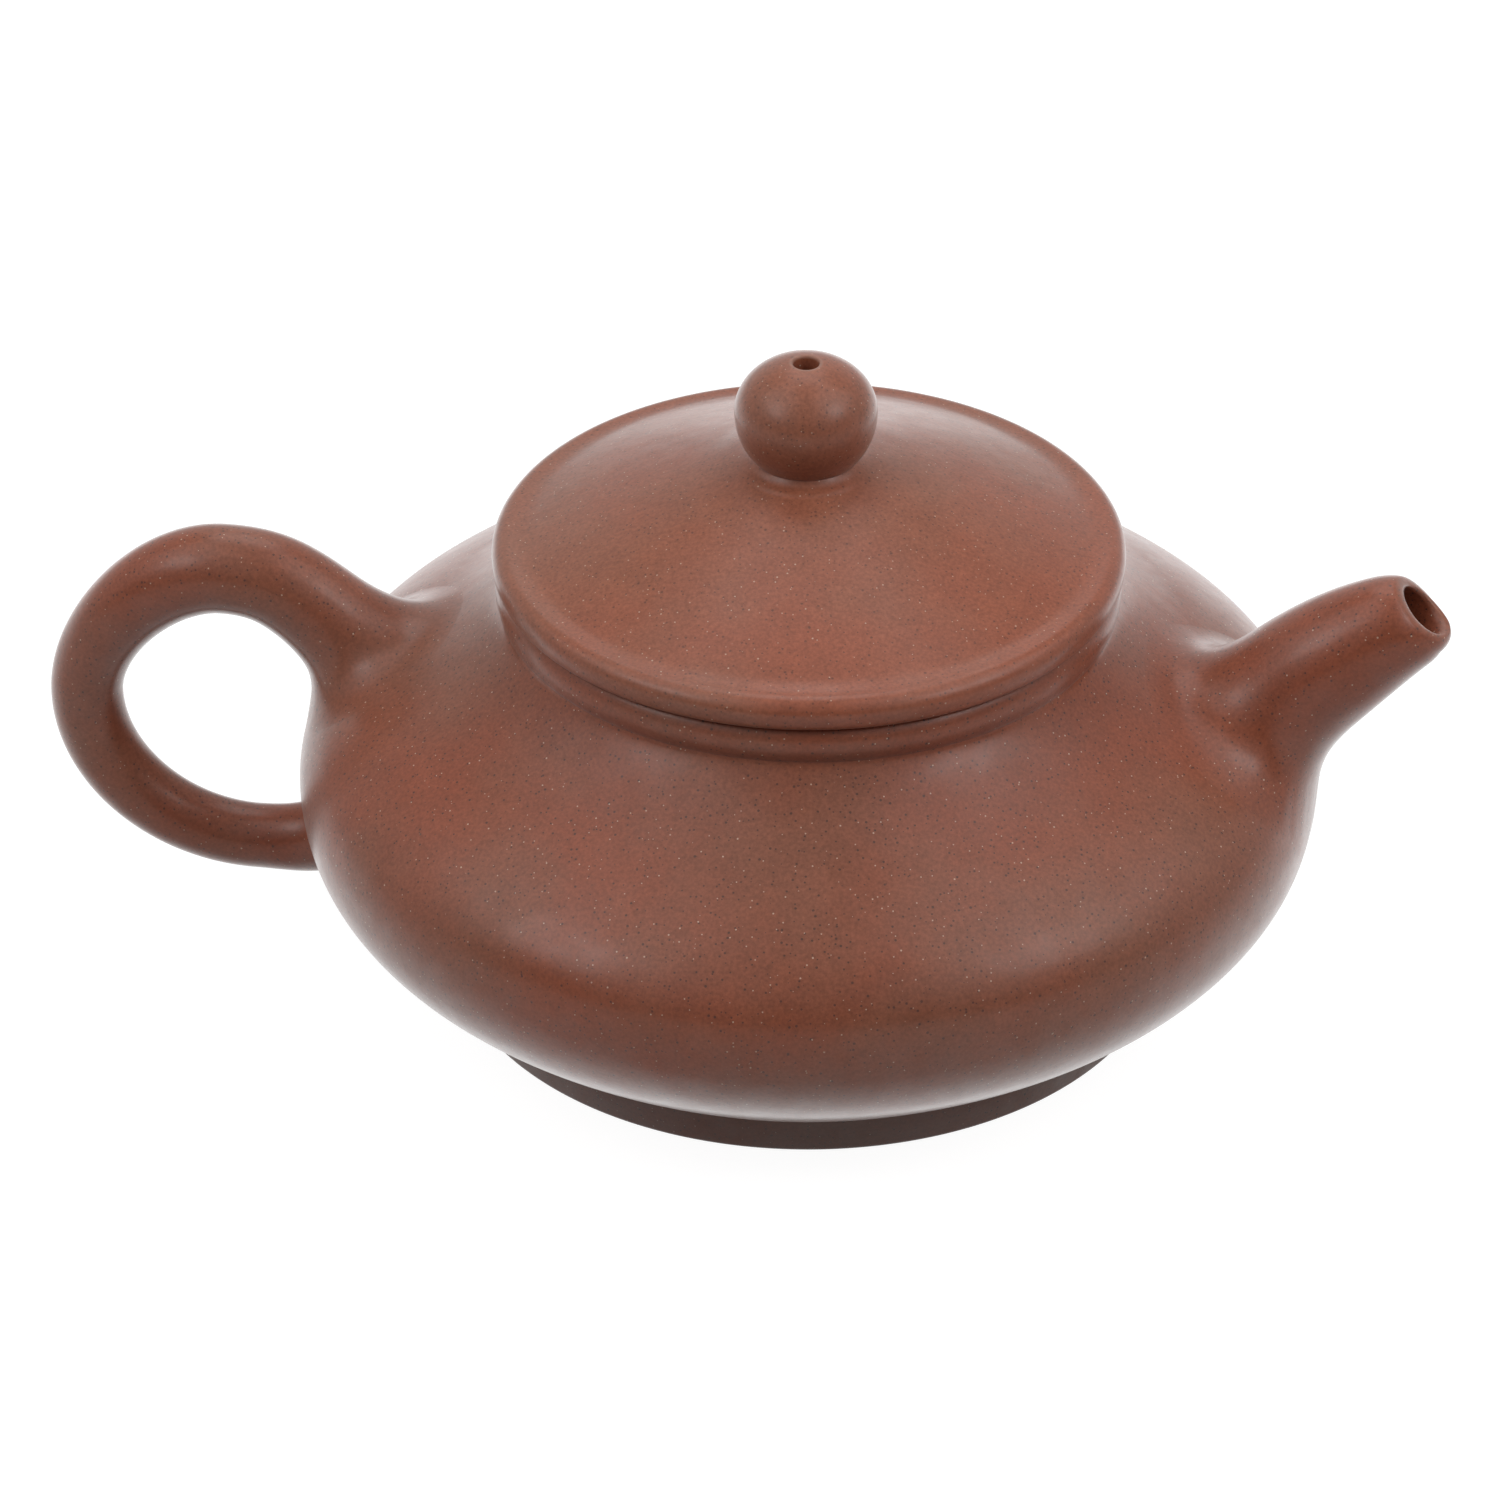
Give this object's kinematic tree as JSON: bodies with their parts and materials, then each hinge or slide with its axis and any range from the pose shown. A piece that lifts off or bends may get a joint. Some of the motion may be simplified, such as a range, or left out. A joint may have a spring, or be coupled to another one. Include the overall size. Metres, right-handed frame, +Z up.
{
  "type": "teapot",
  "caption": "Squat round unglazed clay teapot with a short rising spout, a looped side handle, a foot ring and a lift-off domed lid with a pierced ball knob.",
  "frame": {"origin": "on the table, under the middle of the overall length", "axes": "+X from the handle towards the spout, +Z up, so that XZ is the pot's plane of symmetry"},
  "size_m": [0.1448, 0.105, 0.0704],
  "materials": {
    "body_clay": "satin",
    "lid_clay": "satin",
    "inner_clay": "matt"
  },
  "bodies": {
    "pot": {"body_shell": "body_clay", "base_disc": "body_clay", "foot_ring": "body_clay", "neck_ring": "body_clay", "spout": "body_clay", "spout_filter": "inner_clay", "handle": "body_clay"},
    "lid": {"lid_plate": "lid_clay", "lid_flange": "inner_clay", "lid_knob": "lid_clay"}
  },
  "joints": [
    {"name": "lid_lift", "type": "slide", "parent": "pot", "child": "lid", "axis": [0, 0, 1], "range_m": [0, 0.06]}
  ]
}
